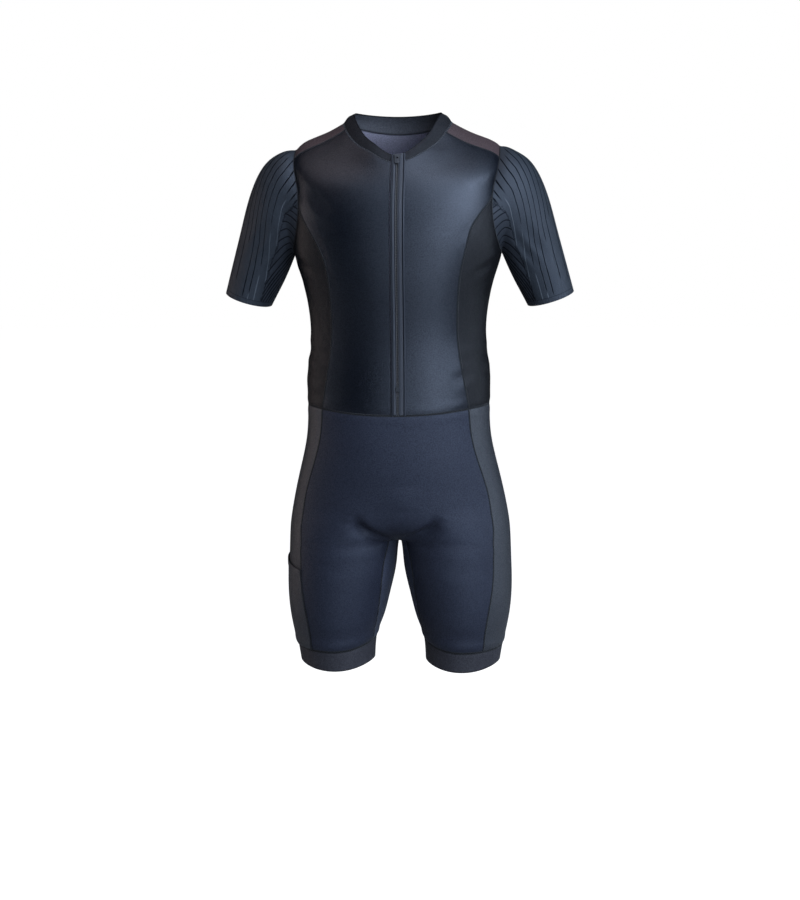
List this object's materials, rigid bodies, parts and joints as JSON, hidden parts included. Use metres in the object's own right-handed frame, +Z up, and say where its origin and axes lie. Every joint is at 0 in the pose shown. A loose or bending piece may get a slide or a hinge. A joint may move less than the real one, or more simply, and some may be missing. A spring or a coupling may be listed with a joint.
{
  "type": "triathlon suit",
  "caption": "Short-sleeved one-piece triathlon suit in its hollow worn shape, with a long front zip, stand collar, ribbed sleeves, leg grippers and a side pocket.",
  "frame": {"origin": "middle of the neck base, level with the inner ends of the shoulder yokes, where the wearer's shoulders hold the suit up", "axes": "+Z up, +X to the wearer's left, -Y out of the front with the zip"},
  "size_m": [0.5854, 0.2524, 0.9313],
  "materials": {
    "satin_panel": "smooth warp knit with a satin face",
    "matt_jersey": "matt woven-look jersey",
    "side_jersey": "smooth dense jersey, low sheen",
    "yoke_jersey": "matt jersey with a warm cast",
    "collar_jersey": "doubled matt jersey",
    "rib_knit": "lengthwise ribbed knit",
    "gripper_knit": "matt elastic knit",
    "zip_tape": "woven tape with a nylon coil",
    "zip_metal": "dark coated die casting",
    "pull_metal": "brushed, bright"
  },
  "bodies": {
    "suit": {"back": "satin_panel", "collar": "collar_jersey", "front_left": "satin_panel", "front_right": "satin_panel", "gripper_left": "gripper_knit", "gripper_right": "gripper_knit", "inner_leg_left": "matt_jersey", "inner_leg_right": "matt_jersey", "leg_pocket": "side_jersey", "shorts_back": "matt_jersey", "shorts_front": "matt_jersey", "shorts_side_left": "side_jersey", "shorts_side_right": "side_jersey", "sleeve_left": "rib_knit", "sleeve_right": "rib_knit", "torso_side_left": "side_jersey", "torso_side_right": "side_jersey", "yoke_left": "yoke_jersey", "yoke_right": "yoke_jersey", "zip_slider": "zip_metal", "zip_stop": "zip_metal", "zip_tape_left": "zip_tape", "zip_tape_right": "zip_tape"},
    "pull_tab": {"pull_tab": "pull_metal"}
  },
  "joints": [
    {"name": "tab_hinge", "type": "hinge", "parent": "suit", "child": "pull_tab", "pos_m": [0.00578, -0.07995, -0.05029], "axis": [-0.9997, -0.0253, 0.0004], "range_deg": [0, 170]}
  ]
}
